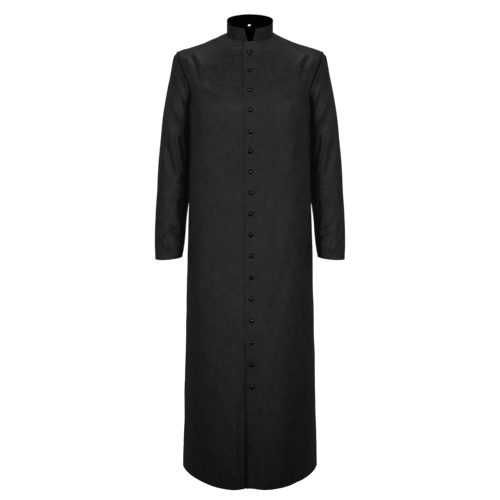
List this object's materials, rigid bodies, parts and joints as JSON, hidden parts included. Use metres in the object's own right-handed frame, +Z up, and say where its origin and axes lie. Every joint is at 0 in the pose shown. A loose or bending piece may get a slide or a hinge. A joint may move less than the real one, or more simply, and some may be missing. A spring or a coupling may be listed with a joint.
{
  "type": "clergy cassock",
  "caption": "Single-breasted black clergy cassock in its worn shape with no wearer: notched stand collar, long plain sleeves, domed buttons down the front lap.",
  "frame": {"origin": "on the centre line between the wearer's shoulders, level with the seam between collar and shoulder at the side of the neck", "axes": "+Z up the wearer, front towards -Y, the wearer's left towards +X; metres"},
  "size_m": [0.587, 0.4438, 1.3953],
  "materials": {
    "black_wool": "fine matt wool with a slight sheen",
    "black_gloss": "polished"
  },
  "bodies": {
    "root": {"front_left": "black_wool", "front_right": "black_wool", "back": "black_wool", "sleeve_left": "black_wool", "sleeve_right": "black_wool", "collar": "black_wool", "button_01": "black_gloss", "button_02": "black_gloss", "button_03": "black_gloss", "button_04": "black_gloss", "button_05": "black_gloss", "button_06": "black_gloss", "button_07": "black_gloss", "button_08": "black_gloss", "button_09": "black_gloss", "button_10": "black_gloss", "button_11": "black_gloss", "button_12": "black_gloss", "button_13": "black_gloss", "button_14": "black_gloss", "button_15": "black_gloss", "button_16": "black_gloss", "button_17": "black_gloss"}
  },
  "joints": []
}
